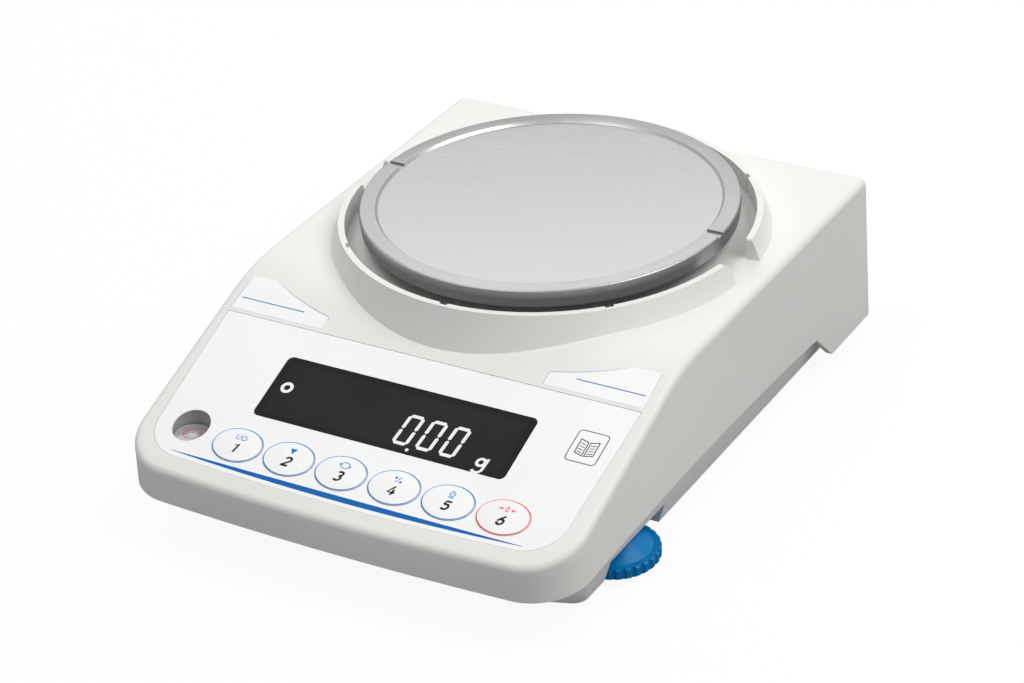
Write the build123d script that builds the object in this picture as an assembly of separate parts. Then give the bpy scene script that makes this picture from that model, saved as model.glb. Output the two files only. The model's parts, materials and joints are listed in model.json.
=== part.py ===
from build123d import *
import math
import os

# Precision balance with a round steel pan inside a low draught ring. Millimetres, +Z up,
# keys towards -Y. It stands on z = 0, centred on its footprint.

# Housing
deck_height = 70.5
nose_height = 34.8
slope_angle = 19.8
skirt_bottom = 8.5
wall = 2.8
draft = 1.2
front_bow = 3.0
front_corner = 22.0
rear_corner = 4.5
edge_round = 3.2
knee_round = 80.0

# Lower edge of the housing, an arch that steps down to a skirt at the back
rim_front = 20.5
rim_middle = 25.3
rim_rear = 22.0
skirt_length = 39.0
step_length = 13.5

# Pan
pan_diameter = 150.0
pan_rise = 14.0
pan_rim = 6.8
pan_sink = 1.0
pan_skirt = 7.0
pan_sheet = 1.2
pan_step = 0.5
groove_width = 3.6
groove_depth = 0.8

# Draught ring, one moulding with the housing
ring_gap = 6.1
ring_to_side = 12.9
ring_to_back = 8.4
ring_to_panel = 11.5
ring_rise = 8.5
ring_wall = 2.5
ring_flare = 22.0
finger_gap = 20.0
notch_width = 3.4
notch_depth = 1.2
collar_radius = 10.0
collar_wall = 2.5
collar_rise = 3.0
collar_clearance = 1.0
deck_rib = 5.0

# Control panel, measured up the slope from its front edge
sheet_margin = 8.0
sheet_length = 72.1
sheet_side = 6.4
sheet_taper = 2.3
sheet_bow = 2.7
sheet_corner = 16.0
sheet_thickness = 0.5
flush_gap = 0.1
fit_gap = 0.2
window_from_level = 20.3
window_width = 108.4
window_start = 28.9
window_length = 29.3
window_corner = 2.5
window_thickness = 1.8
window_ledge = 1.5

# Keys
key_count = 6
key_pitch = 22.8
key_row_offset = 5.5
key_row_height = 13.6
key_half_width = 10.45
key_half_height = 7.65
key_rise = 0.3
key_travel = 0.4
key_rest_gap = 0.1
key_gap = 0.15
stem_radius = 2.0
stem_gap = 0.3

# Plates above the panel, one a mirror image of the other
badge_margin = 1.9
badge_side = 6.3
badge_shoulder_width = 11.6
badge_width = 41.9
badge_lean = 0.8
badge_hollow = 1.2
badge_length = 17.1
badge_tip_length = 6.0
badge_round = 1.2

# Spirit level
level_from_edge = 16.4
level_height = 16.9
level_radius = 7.6
level_wall = 2.3
level_depth = 3.8
vial_thickness = 4.5

# Base tray
base_bottom = 6.5
base_side_inset = 8.0
base_front_inset = 25.2
base_wall = 3.0
base_lip = 6.5
lip_gap = 0.4
base_corner = 6.0
floor_rib = 4.0
floor_rib_x = 46.0

# Levelling feet in front, fixed feet behind
wheel_radius = 17.2
wheel_inset = 15.0
wheel_from_front = 67.0
wheel_thickness = 4.5
wheel_lobes = 28
lobe_depth = 0.9
hub_height = 7.5
hub_radius = 6.0
recess_gap = 4.0
foot_pad_radius = 7.0
foot_pad_height = 3.0
foot_travel = 6.0
hub_clearance = 0.5
foot_stem_radius = 4.0
stem_running_gap = 0.05
bush_wall = 2.0
bush_length = 14.0
rear_foot_radius = 9.0
rear_foot_inset = 24.5
rear_foot_from_back = 31.0

# Screws that hold housing and tray together
post_radius = 4.5
screw_radius = 1.5
screw_head_radius = 3.0
screw_head_height = 2.2
screw_clearance = 0.3
screw_length = 16.0
screw_well = 9.0
post_joint = 27.0
post_inset = 14.5
post_back_row = 19.0
post_front_row = 141.0
gusset_thickness = 2.0

# Weighing cell
cell_half = 34.0
cell_to_board = 5.0
cell_behind_post = 16.75
cell_plate = 6.0
cell_lift = 3.0
guide_thickness = 2.0
guide_neck = 0.8
guide_gap = 0.3
guide_clearance = 1.5
pillar_length = 12.0
pillar_height = 31.0
receiver_half = 14.0
receiver_length = 12.0
post_shoulder_radius = 7.0
load_pin_radius = 4.0
load_pin_length = 5.8
load_travel = 0.4
beam_half = 6.0
beam_height = 6.0
beam_pivot_from_post = 21.0
beam_drop = 4.0
pivot_radius = 1.5
pivot_gap = 0.05
cheek_thickness = 4.0
cheek_gap = 1.5
cheek_length = 10.0
magnet_radius = 20.0
magnet_to_beam = 3.2
magnet_to_cheek = 2.0
magnet_wall = 4.5
core_clearance = 3.0
core_radius = 10.5
coil_inner = 11.5
coil_outer = 14.0
coil_former = 2.0
coil_floor_gap = 3.2
flag_thickness = 0.8
flag_length = 2.0
flag_gap = 0.8

# Pan carrier
carrier_inset = 15.0
carrier_thickness = 2.0
carrier_spoke = 16.0
carrier_hub_radius = 18.0
cushion_radius = 5.0
cushion_height = 2.3
cushion_inset = 10.0

# Boards and sockets
board_thickness = 1.6
key_board_depth = 11.0
key_board_margin = 6.6
key_board_end = 2.25
key_board_start = 3.0
key_board_length = 57.0
module_height = 7.5
module_margin = 2.5
switch_size = 6.0
switch_height = 4.3
switch_button = 0.8
main_board_inset = 24.5
main_board_length = 54.0
main_board_lift = 4.5
main_board_gap = 4.0
port_x = -38.0
port_width = 31.0
port_height = 12.5
port_shell_width = 17.0
port_shell_height = 8.5
jack_x = 42.0
jack_width = 9.0
jack_height = 11.0
jack_bore = 3.1
jack_depth = 9.0
jack_pin = 1.0
jack_inset = 1.0
jack_reach = 8.0
port_inset = 4.5
port_reach = 6.0
port_shell_length = 4.0
chip_size = 16.0
chip_height = 2.4
can_width = 24.0
can_length = 16.0
can_height = 5.0
capacitor_radius = 5.0
capacitor_height = 14.0
capacitor_pitch = 12.0
board_screw_radius = 1.25
board_screw_head_radius = 2.5
board_screw_head_height = 1.6
board_screw_length = 6.0
board_post_radius = 3.5

# Values that follow from the sizes above
slope = math.radians(slope_angle)
pan_radius = pan_diameter / 2
pan_height = deck_height + pan_rise
ring_inner = pan_radius + ring_gap
ring_outer = ring_inner + ring_wall
body_width = 2 * (ring_outer + ring_to_side)
panel_run = (sheet_margin + sheet_length) * math.cos(slope)
body_depth = panel_run + ring_to_panel + 2 * ring_outer + ring_to_back
back_y = body_depth / 2
front_y = -back_y
pan_y = back_y - ring_to_back - ring_outer
sheet_half_top = body_width / 2 - sheet_side
sheet_half_bottom = sheet_half_top - sheet_taper
badge_outer = body_width / 2 - badge_side
badge_shoulder = badge_outer - badge_shoulder_width
badge_tip = badge_outer - badge_width
level_x = level_from_edge - sheet_half_top
window_left = level_x + window_from_level
key_row_centre = window_left + window_width / 2 + key_row_offset
key_board_left = window_left - key_board_margin
key_board_right = key_row_centre + key_pitch * (key_count - 1) / 2 + key_half_width + key_board_end
base_half = body_width / 2 - base_side_inset
wheel_x = body_width / 2 - wheel_inset
rear_foot_x = body_width / 2 - rear_foot_inset
post_x = body_width / 2 - post_inset
main_board_half = body_width / 2 - main_board_inset
carrier_radius = pan_radius - carrier_inset
cushion_circle = carrier_radius - cushion_inset
cell_back = pan_y + cell_behind_post
key_board_back = (sheet_margin + key_board_start + key_board_length) * math.cos(slope)
key_board_back += front_y + (key_board_depth + board_thickness) * math.sin(slope)
cell_front = key_board_back + cell_to_board
ring_top = deck_height + ring_rise
recess_depth = sheet_thickness + flush_gap
base_floor = base_bottom + base_wall
base_lip_bottom = rim_front - 0.5
base_lip_top = base_lip_bottom + base_lip
wheel_y = front_y + wheel_from_front
rear_foot_y = back_y - rear_foot_from_back
cell_top = base_floor + cell_lift + cell_plate
receiver_bottom = cell_top + 2 * guide_thickness + load_travel + guide_gap
upper_guide_bottom = cell_top + 2 * guide_thickness + pillar_height
receiver_top = upper_guide_bottom - guide_gap
beam_axis_z = receiver_top - beam_drop - beam_height / 2
beam_pivot_y = pan_y - beam_pivot_from_post
beam_tail = magnet_radius + cheek_length / 2 + magnet_to_cheek + coil_outer
coil_y = beam_pivot_y - beam_tail + coil_outer
coil_top = beam_axis_z - beam_height / 2
magnet_height = coil_top - magnet_to_beam - cell_top
coil_length = coil_top - cell_top - magnet_wall - coil_former - coil_floor_gap
carrier_top = pan_height - pan_sink - pan_sheet - cushion_height
hub_top = carrier_top
shoulder_top = hub_top - carrier_thickness - load_pin_length
main_board_bottom = base_floor + main_board_lift
main_board_back = back_y - wall - main_board_gap
panel = Plane(
    origin=(0, front_y + sheet_margin * math.cos(slope), nose_height + sheet_margin * math.sin(slope)),
    x_dir=(1, 0, 0),
    z_dir=(0, -math.sin(slope), math.cos(slope)),
)
upright = (Align.CENTER, Align.CENTER, Align.MIN)


def rod(x, y, bottom, top, radius):
    """Upright cylinder between two heights."""
    return Pos(x, y, bottom) * Cylinder(radius, top - bottom, align=upright)


def block(x_range, y_range, z_range):
    """Box between pairs of coordinates."""
    size = [high - low for low, high in (x_range, y_range, z_range)]
    corner = Pos(x_range[0], y_range[0], z_range[0])
    return corner * Box(*size, align=(Align.MIN, Align.MIN, Align.MIN))


def panel_prism(sketch, outer, inner):
    """Prism square to the control panel, between two depths under its surface."""
    return panel.location * Pos(0, 0, -inner) * extrude(sketch, amount=inner - outer)


def panel_point(x, v, depth):
    """Point at a place and depth of the control panel."""
    return (panel.location * Pos(x, v, -depth)).position


def outline(half, front, back, bow, front_radius, back_radius):
    """Plan of the body, straight at the sides and back and bowed in front."""
    edges = [
        Line((half, front + bow), (half, back)),
        Line((half, back), (-half, back)),
        Line((-half, back), (-half, front + bow)),
        ThreePointArc((-half, front + bow), (0, front), (half, front + bow)),
    ]
    face = make_face(edges)
    face = fillet(face.vertices().sort_by(Axis.Y)[:2], front_radius)
    return fillet(face.vertices().sort_by(Axis.Y)[-2:], back_radius)


def slope_height(y, depth):
    """Height of the sloping front at a place, some depth under its surface."""
    return nose_height + (y - front_y) * math.tan(slope) - depth / math.cos(slope)


def side_view(depth, underside):
    """Side outline of the housing, with the arched lower edge or open downwards."""
    past = 10.0
    deck = deck_height - depth
    knee_y = front_y + (deck + depth / math.cos(slope) - nose_height) / math.tan(slope)
    start, end = front_y - past, back_y + past
    top = [(end, deck), (knee_y, deck), (start, slope_height(start, depth))]
    if underside:
        step_foot = back_y - skirt_length
        step_top = step_foot - step_length
        arch = ThreePointArc((start, rim_front), ((start + step_top) / 2, rim_middle), (step_top, rim_rear))
        lines = [
            Polyline((step_top, rim_rear), (step_foot, skirt_bottom), (end, skirt_bottom), *top),
            Line(top[-1], (start, rim_front)),
            arch,
        ]
    else:
        lines = [Polyline((end, 0), *top, (start, 0), close=True)]
    face = make_face(lines)
    knee = face.vertices().sort_by_distance((knee_y, deck, 0))[0]
    return fillet(knee, knee_round + depth)


def body_form(inset, underside):
    """The body without its ring, some depth inside the outer surface."""
    start = skirt_bottom if underside else skirt_bottom - wall
    lean = (rim_front - skirt_bottom) * math.tan(math.radians(draft))
    plan = outline(
        body_width / 2 - inset,
        front_y - lean + inset,
        back_y - inset,
        front_bow,
        front_corner - inset,
        rear_corner - inset,
    )
    upwards = extrude(Pos(0, 0, start) * plan, amount=deck_height, taper=draft)
    across = extrude(Plane.YZ * side_view(inset, underside), amount=body_width, both=True)
    return upwards & across


def crown_edges(solid):
    """Edges between the upper faces of a solid and its walls."""
    tops = [face for face in solid.faces() if face.normal_at().Z > 0.8]
    found = []
    for edge in solid.edges():
        holders = sum(any(edge.is_same(other) for other in face.edges()) for face in tops)
        if holders == 1:
            found.append(edge)
    return found


def ring_cone(inset, top):
    """Flared block that carries the draught ring, from inside the slope up to a height."""
    bottom = min(slope_height(pan_y - ring_outer - ring_rise, 2 * wall), deck_height - 2 * wall)
    grow = math.tan(math.radians(ring_flare))
    outer = ring_outer - inset / math.cos(math.radians(ring_flare))
    lower = outer + (ring_top - bottom) * grow
    upper = outer + (ring_top - top) * grow
    profile = make_face(Polyline((0, bottom), (lower, bottom), (upper, top), (0, top), close=True))
    cone = Pos(0, pan_y, 0) * revolve(Plane.XZ * profile, Axis.Z)
    return cone - block((-body_width, body_width), (pan_y, body_depth), (0, deck_height - wall / 2 - inset))


def finger_gaps():
    """Cutter for the gaps left and right of the pan, rounded over at the rim."""
    half = finger_gap / 2
    front_lip = 3.0
    rear_lip = 1.0
    low, high = deck_height, ring_top
    lines = [
        Polyline((-half, high - front_lip), (-half, low), (half, low), (half, high - rear_lip)),
        RadiusArc((half, high - rear_lip), (half + rear_lip, high), rear_lip),
        Polyline((half + rear_lip, high), (half + rear_lip, high + 1), (-half - front_lip, high + 1),
                 (-half - front_lip, high)),
        RadiusArc((-half - front_lip, high), (-half, high - front_lip), front_lip),
    ]
    cutter = extrude(Plane.YZ * make_face(lines), amount=body_width, both=True)
    return Pos(0, pan_y, 0) * cutter


def badge_outline(gap):
    """Right-hand plate above the control panel, with a gap all round."""
    low = sheet_length + badge_margin
    high = low + badge_length
    tip = low + badge_tip_length
    hollow = ((badge_tip + badge_shoulder) / 2, (tip + high) / 2 - badge_hollow)
    edges = [
        Line((badge_outer, low), (badge_outer - badge_lean, high)),
        Line((badge_outer - badge_lean, high), (badge_shoulder, high)),
        ThreePointArc((badge_shoulder, high), hollow, (badge_tip, tip)),
        Line((badge_tip, tip), (badge_tip, low)),
        Line((badge_tip, low), (badge_outer, low)),
    ]
    face = make_face(edges)
    face = fillet(face.vertices().sort_by(Axis.X)[:2], badge_round)
    return offset(face, amount=gap) if gap else face


def sheet_outline(gap):
    """Outline of the panel sheet, with a gap all round."""
    half_top = sheet_half_top + gap
    half_low = sheet_half_bottom + gap
    edges = [
        ThreePointArc((-half_low, sheet_bow - gap), (0, -gap), (half_low, sheet_bow - gap)),
        Line((half_low, sheet_bow - gap), (half_top, sheet_length + gap)),
        Line((half_top, sheet_length + gap), (-half_top, sheet_length + gap)),
        Line((-half_top, sheet_length + gap), (-half_low, sheet_bow - gap)),
    ]
    face = make_face(edges)
    return fillet(face.vertices().sort_by(Axis.Y)[:2], sheet_corner)


def window_outline(gap):
    """Outline of the display window, grown by a gap."""
    centre = Pos(window_left + window_width / 2, window_start + window_length / 2)
    size = (window_width + 2 * gap, window_length + 2 * gap)
    return centre * RectangleRounded(*size, window_corner + min(gap, 0))


def key_places():
    """Places of the keys along the panel."""
    first = key_row_centre - key_pitch * (key_count - 1) / 2
    return [(first + key_pitch * i, key_row_height) for i in range(key_count)]


def key_outline(place, gap):
    """Oval of one key, grown by a gap."""
    return Pos(*place) * Ellipse(key_half_width + gap, key_half_height + gap)


def housing_posts():
    """Places of the four posts that the screws enter."""
    rows = (back_y - post_back_row, back_y - post_front_row)
    return [(side * post_x, y) for side in (-1, 1) for y in rows]


def key_board_posts():
    """Places of the posts that carry the key board, along the panel."""
    inset = 3.5
    low = window_start - 3.0
    high = key_board_start + key_board_length - inset
    return [(x, v) for x in (key_board_left + inset, key_board_right - inset) for v in (low, high)]


def make_housing():
    """White upper housing, a moulded shell with deck, slope, skirt and draught ring."""
    outer = body_form(0, True)
    outer = fillet(crown_edges(outer), edge_round)
    outer += ring_cone(0, ring_top)
    outer -= rod(0, pan_y, deck_height, ring_top + 1, ring_inner)
    outer -= finger_gaps()
    for angle in (-135, -90, -45, 45, 90, 135):
        notch = Box(2 * notch_depth, notch_width, 2 * ring_rise, align=upright)
        outer -= Pos(0, pan_y, 0) * Rot(0, 0, angle) * Pos(ring_inner, 0, deck_height) * notch
    outer += rod(0, pan_y, deck_height, deck_height + collar_rise, collar_radius + collar_wall)

    shell = outer - body_form(wall, False) - ring_cone(wall, deck_height - wall)
    shell += posts_and_ribs()
    shell -= rod(0, pan_y, post_joint, pan_height, collar_radius)
    shell -= panel_pockets()
    return shell - rear_openings()


def posts_and_ribs():
    """Screw posts with their gussets, board posts and the ribs under the deck."""
    under_deck = deck_height - wall
    extra = rod(0, pan_y, under_deck - deck_rib, under_deck + wall / 2, collar_radius + collar_wall)
    for x, y in housing_posts():
        outwards = sorted((x, math.copysign(body_width / 2, x)))
        along = (y - gusset_thickness / 2, y + gusset_thickness / 2)
        gusset = block(outwards, along, (post_joint + screw_length, under_deck + wall / 2))
        extra += rod(x, y, post_joint, under_deck + wall / 2, post_radius) + gusset
    for angle in (35, 145, 215, 325):
        rib = Pos(0, 0, under_deck - deck_rib) * Box(
            ring_inner, gusset_thickness, deck_rib + wall / 2, align=(Align.MIN, Align.CENTER, Align.MIN)
        )
        extra += Pos(0, pan_y, 0) * Rot(0, 0, angle) * rib
    for place in key_board_posts():
        extra += panel_prism(Pos(*place) * Circle(board_post_radius), wall / 2, key_board_depth)
    extra &= body_form(wall / 2, False)
    for place in key_board_posts():
        pilot = Pos(*place) * Circle(board_screw_radius + stem_running_gap)
        extra -= panel_prism(pilot, key_board_depth - board_screw_length, key_board_depth)
    for x, y in housing_posts():
        pilot = screw_radius + stem_running_gap
        extra -= rod(x, y, post_joint - 1, post_joint + screw_length, pilot)
    return extra


def panel_pockets():
    """All that is cut into the sloping front: recesses, window, key pockets and level hole."""
    cut = panel_prism(sheet_outline(fit_gap), -1, recess_depth)
    for side in (1, -1):
        plate = badge_outline(fit_gap)
        cut += panel_prism(plate if side > 0 else mirror(plate, Plane.YZ), -1, recess_depth)
    cut += panel_prism(window_outline(fit_gap), 0, window_thickness + flush_gap)
    cut += panel_prism(window_outline(-window_ledge), 0, 2 * wall)
    for place in key_places():
        cut += panel_prism(key_outline(place, key_gap), 0, recess_depth + key_travel + fit_gap)
        cut += panel_prism(Pos(*place) * Circle(stem_radius + stem_gap), 0, 2 * wall)
    centre = panel_point(level_x, level_height, 0)
    radius = level_radius + level_wall + fit_gap
    cut += rod(centre.X, centre.Y, centre.Z - 2 * radius, centre.Z + radius, radius)
    return cut


def rear_openings():
    """Openings of the sockets through the back of housing and tray."""
    reach = (main_board_back - 1, back_y + wall)
    port = block(
        (port_x - port_width / 2 - fit_gap, port_x + port_width / 2 + fit_gap),
        reach,
        (port_bottom() - fit_gap, port_bottom() + port_height + fit_gap),
    )
    jack = block(
        (jack_x - jack_width / 2 - fit_gap, jack_x + jack_width / 2 + fit_gap),
        reach,
        (port_bottom() - fit_gap, port_bottom() + jack_height + fit_gap),
    )
    return port + jack


def port_bottom():
    """Height of the sockets, on top of the main board."""
    return main_board_bottom + board_thickness


def tray_section(height, half, front, back, radius, inset):
    """One level of the tray's outline."""
    corners = (radius - inset / 2, rear_corner - inset / 2)
    return Pos(0, 0, height) * outline(half - inset, front + inset, back - inset, front_bow, *corners)


def tray_form(inset, bottom):
    """Solid inside the tray's outer skin: sloped up to the housing and upright at the lip."""
    lean = (base_lip_top - skirt_bottom) * math.tan(math.radians(draft))
    inner_half = body_width / 2 - wall - lip_gap - lean
    lip_front = front_y + body_width / 2 - inner_half
    lip_back = back_y - body_width / 2 + inner_half
    lip_corner = front_corner - wall
    low = tray_section(bottom, base_half, front_y + base_front_inset, lip_back, base_corner, inset)
    middle = tray_section(base_lip_bottom + inset / 2, inner_half, lip_front, lip_back, lip_corner, inset)
    top = tray_section(base_lip_top + inset / 2, inner_half, lip_front, lip_back, lip_corner, inset)
    return loft([low, middle, top], ruled=True)


def wheel_recess(side, grow):
    """Room for a levelling wheel under the tray, open to the side."""
    radius = wheel_radius + recess_gap + grow
    top = recess_roof() + grow
    x = side * wheel_x
    round_part = rod(x, wheel_y, -1, top, radius)
    outwards = sorted((x, side * body_width))
    return round_part + block(outwards, (wheel_y - radius, wheel_y + radius), (-1, top))


def recess_roof():
    """Height of the roof over a levelling wheel."""
    return foot_pad_height + wheel_thickness + hub_height + hub_clearance


def make_base():
    """Grey base tray with wheel recesses, foot bosses, pedestals and screw posts."""
    skin = tray_form(0, base_bottom)
    cavity = tray_form(base_wall, base_floor)
    for side in (-1, 1):
        cavity -= wheel_recess(side, base_wall)
    tray = skin - cavity
    for side in (-1, 1):
        roof = recess_roof()
        boss = rod(side * wheel_x, wheel_y, roof, roof + bush_length, bush_radius() + base_wall)
        tray += boss & room(skin)
    for x, y in housing_posts():
        tray += rod(x, y, base_bottom, post_joint, post_radius) & room(skin)
    for x, y in cell_feet():
        tray += rod(x, y, base_floor, base_floor + cell_lift, 5)
    for x, y in board_posts():
        tray += rod(x, y, base_floor, main_board_bottom, board_post_radius)
        tray -= rod(x, y, base_floor, main_board_bottom, board_screw_radius + stem_running_gap)
    rib_back = main_board_back - main_board_length
    for x in (-floor_rib_x, floor_rib_x):
        along = (front_y + base_front_inset, rib_back)
        tray += block((x - 1, x + 1), along, (base_floor - 1, base_floor + floor_rib))
    level = panel_point(level_x, level_height, 0)
    tray += rod(level.X, level.Y, base_bottom, level_bottom(), 5) & room(skin)
    for side in (-1, 1):
        tray -= wheel_recess(side, 0)
        tray -= rod(side * wheel_x, wheel_y, 0, recess_roof() + bush_length, bush_radius())
    for x, y in housing_posts():
        tray -= rod(x, y, 0, base_bottom + screw_well, screw_head_radius + screw_clearance)
        tray -= rod(x, y, 0, post_joint, screw_radius + screw_clearance)
    return tray - rear_openings()


def room(skin):
    """Everything that the tray and the housing enclose, for pieces that stand in the tray."""
    above = Pos(0, 0, base_lip_bottom) * Box(body_width, body_depth, deck_height, align=upright)
    return skin + (body_form(wall + lip_gap, False) & above)


def bush_radius():
    """Outer radius of a threaded bush."""
    return foot_stem_radius + stem_running_gap + bush_wall


def cell_feet():
    """Places of the pedestals under the weighing cell."""
    inset = 7.0
    return [(x, y) for x in (-cell_half + inset, cell_half - inset)
            for y in (cell_front + inset, cell_back - inset)]


def board_posts():
    """Places of the posts under the main board."""
    inset = 5.0
    front = main_board_back - main_board_length
    return [(x, y) for x in (-main_board_half + inset, main_board_half - inset)
            for y in (front + inset, main_board_back - inset)]


def make_panel_sheet():
    """White plastic sheet over the panel, open at the window, the level and each key."""
    face = sheet_outline(0) - window_outline(fit_gap)
    face -= Pos(level_x, level_height) * Circle(level_radius)
    for place in key_places():
        face -= key_outline(place, key_gap)
    return panel_prism(face, flush_gap, recess_depth)


def make_key(place):
    """Raised oval key pad with the stem that reaches down to its switch."""
    pad = panel_prism(key_outline(place, 0), -key_rise, recess_depth)
    top = pad.faces().sort_by(lambda face: face.center().dot(panel.z_dir))[-1]
    pad = fillet(top.edges(), key_rise * 0.8)
    end = switch_top() - key_travel - key_rest_gap
    return pad + panel_prism(Pos(*place) * Circle(stem_radius), recess_depth, end)


def switch_top():
    """Depth of the top of the key switches."""
    return key_board_depth - switch_height


def make_key_board():
    """Board under the slope that carries the display and the key switches."""
    centre = Pos((key_board_left + key_board_right) / 2, key_board_start + key_board_length / 2)
    face = centre * Rectangle(key_board_right - key_board_left, key_board_length)
    for place in key_board_posts():
        face -= Pos(*place) * Circle(board_screw_radius + stem_running_gap)
    return panel_prism(face, key_board_depth, key_board_depth + board_thickness)


def make_board_screws():
    """Eight small screws, four for the key board and four for the main board."""
    screws = []
    under = key_board_depth + board_thickness
    tip = key_board_depth - board_screw_length + 1
    for place in key_board_posts():
        shank = panel_prism(Pos(*place) * Circle(board_screw_radius), tip, under)
        head = Pos(*place) * Circle(board_screw_head_radius)
        screws.append(shank + panel_prism(head, under, under + board_screw_head_height))
    top = main_board_bottom + board_thickness
    for x, y in board_posts():
        head = rod(x, y, top, top + board_screw_head_height, board_screw_head_radius)
        screws.append(rod(x, y, base_floor, top, board_screw_radius) + head)
    return Compound(children=screws)


def make_key_switches():
    """Six small square switches under the keys."""
    switches = []
    for place in key_places():
        middle = switch_top() + switch_button
        body = panel_prism(Pos(*place) * Rectangle(switch_size, switch_size), middle, key_board_depth)
        switches.append(body + panel_prism(Pos(*place) * Circle(0.28 * switch_size), switch_top(), middle))
    return Compound(children=switches)


def make_display_module():
    """Glass display tube behind the window."""
    centre = Pos(window_left + window_width / 2, window_start + window_length / 2)
    glass = centre * Rectangle(window_width - 2 * module_margin, window_length - 2 * module_margin)
    return panel_prism(glass, key_board_depth - module_height, key_board_depth)


def make_level_cup():
    """Grey well that holds the spirit level upright under the slope."""
    centre = panel_point(level_x, level_height, 0)
    radius = level_radius + level_wall
    floor = level_bottom()
    cup = rod(centre.X, centre.Y, floor, centre.Z + radius, radius)
    cup -= rod(centre.X, centre.Y, floor + 2, centre.Z + 2 * radius, level_radius + fit_gap)
    above = Pos(level_x, level_height) * Rectangle(4 * radius, 4 * radius)
    return cup - panel_prism(above, -3 * radius, recess_depth)


def level_bottom():
    """Height of the underside of the level's well."""
    return panel_point(level_x, level_height, 0).Z - level_depth - vial_thickness - 2


def make_level_vial():
    """Round clear vial with a rounded rim."""
    centre = panel_point(level_x, level_height, 0)
    bottom = level_bottom() + 2
    vial = rod(centre.X, centre.Y, bottom, bottom + vial_thickness, level_radius)
    return fillet(vial.edges().sort_by(Axis.Z)[-1], 0.6)


def make_badge(side):
    """Blank plate let into the slope above the panel."""
    plate = badge_outline(0)
    return panel_prism(plate if side > 0 else mirror(plate, Plane.YZ), flush_gap, recess_depth)


def make_pan():
    """Pressed steel pan with a raised rim, a short skirt and two drain grooves."""
    outer = pan_radius
    top = pan_height
    plate = top - pan_sink
    inner = outer - pan_rim
    mid = top - pan_skirt / 2
    end = top - pan_skirt
    profile = make_face(
        Polyline(
            (0, plate), (inner - 0.6, plate), (inner + 0.4, top), (outer, top), (outer, mid),
            (outer - pan_step, mid - pan_step), (outer - pan_step, end), (outer - pan_sheet - pan_step, end),
            (outer - pan_sheet - pan_step, mid - pan_step), (outer - pan_sheet, mid),
            (outer - pan_sheet, top - pan_sheet), (inner + 0.9, top - pan_sheet), (inner, plate - pan_sheet),
            (0, plate - pan_sheet), close=True,
        )
    )
    corner = profile.vertices().sort_by_distance((outer, top, 0))[0]
    profile = fillet(corner, pan_sheet * 0.7)
    pan = revolve(Plane.XZ * profile, Axis.Z)
    for side in (-1, 1):
        length = pan_rim + 1
        middle = side * (outer - pan_rim / 2 + 0.5)
        channel_bottom = top - pan_sheet - groove_depth
        under = Pos(side * (outer - pan_rim / 2 - pan_sheet / 2), 0, channel_bottom) * Box(
            pan_rim - pan_sheet, groove_width + 2 * pan_sheet, groove_depth + pan_sheet / 2, align=upright
        )
        pan += under
        pan -= Pos(middle, 0, top - groove_depth) * Box(length + 1, groove_width, 2, align=upright)
    return Pos(0, pan_y, 0) * pan


def make_carrier():
    """Black pan carrier: a spoked disc with a hub that sits on the load pin."""
    bottom = carrier_top - carrier_thickness
    disc = rod(0, 0, bottom, carrier_top, carrier_radius)
    for angle in (45, 135, 225, 315):
        opening = Pos(0, 0, bottom) * extrude(make_face(spoke_window()), amount=carrier_thickness)
        disc -= Rot(0, 0, angle) * opening
    skirt = rod(0, 0, deck_height + collar_clearance, bottom, carrier_hub_radius)
    skirt -= rod(0, 0, deck_height, bottom, carrier_hub_radius - carrier_thickness)
    boss = rod(0, 0, shoulder_top, bottom, load_pin_radius + 3)
    boss -= rod(0, 0, shoulder_top, shoulder_top + load_pin_length, load_pin_radius + stem_running_gap)
    return Pos(0, pan_y, 0) * (disc + skirt + boss)


def spoke_window():
    """Edges of one opening between two spokes of the carrier."""
    inner = carrier_hub_radius + 4
    outer = carrier_radius - 6
    half_in = math.degrees(math.asin(carrier_spoke / 2 / inner))
    half_out = math.degrees(math.asin(carrier_spoke / 2 / outer))
    a, b = math.radians(45 - half_in), math.radians(45 - half_out)
    p = [(inner * math.cos(a), -inner * math.sin(a)), (outer * math.cos(b), -outer * math.sin(b))]
    q = [(x, -y) for x, y in p]
    return [
        Line(p[0], p[1]),
        ThreePointArc(p[1], (outer, 0), q[1]),
        Line(q[1], q[0]),
        ThreePointArc(q[0], (inner, 0), p[0]),
    ]


def make_cushions():
    """Four rubber buttons between carrier and pan."""
    buttons = []
    for angle in (0, 90, 180, 270):
        a = math.radians(angle)
        x, y = cushion_circle * math.cos(a), pan_y + cushion_circle * math.sin(a)
        buttons.append(rod(x, y, carrier_top, carrier_top + cushion_height, cushion_radius))
    return Compound(children=buttons)


def make_cell_frame():
    """Cast bottom plate of the weighing cell with the step for the lower guide and the beam's cheeks."""
    low = base_floor + cell_lift
    plate = block((-cell_half, cell_half), (cell_front, cell_back), (low, cell_top))
    plate = fillet(plate.edges().filter_by(Axis.Z), 4)
    plate += block((-cell_half + 4, cell_half - 4), (cell_front, cell_front + pillar_length),
                   (cell_top, cell_top + guide_thickness))
    for side in (-1, 1):
        inner = beam_half + cheek_gap
        cheek = block(sorted((side * inner, side * (inner + cheek_thickness))),
                      (beam_pivot_y - cheek_length / 2, beam_pivot_y + cheek_length / 2),
                      (cell_top, beam_axis_z + 4))
        plate += cheek
    plate -= block((-receiver_half, receiver_half), (pan_y - 5, pan_y + 5), (low + 2, cell_top))
    bore = Pos(0, beam_pivot_y, beam_axis_z) * Rot(0, 90, 0) * Cylinder(pivot_radius, 4 * cell_half)
    return plate - bore


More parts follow.
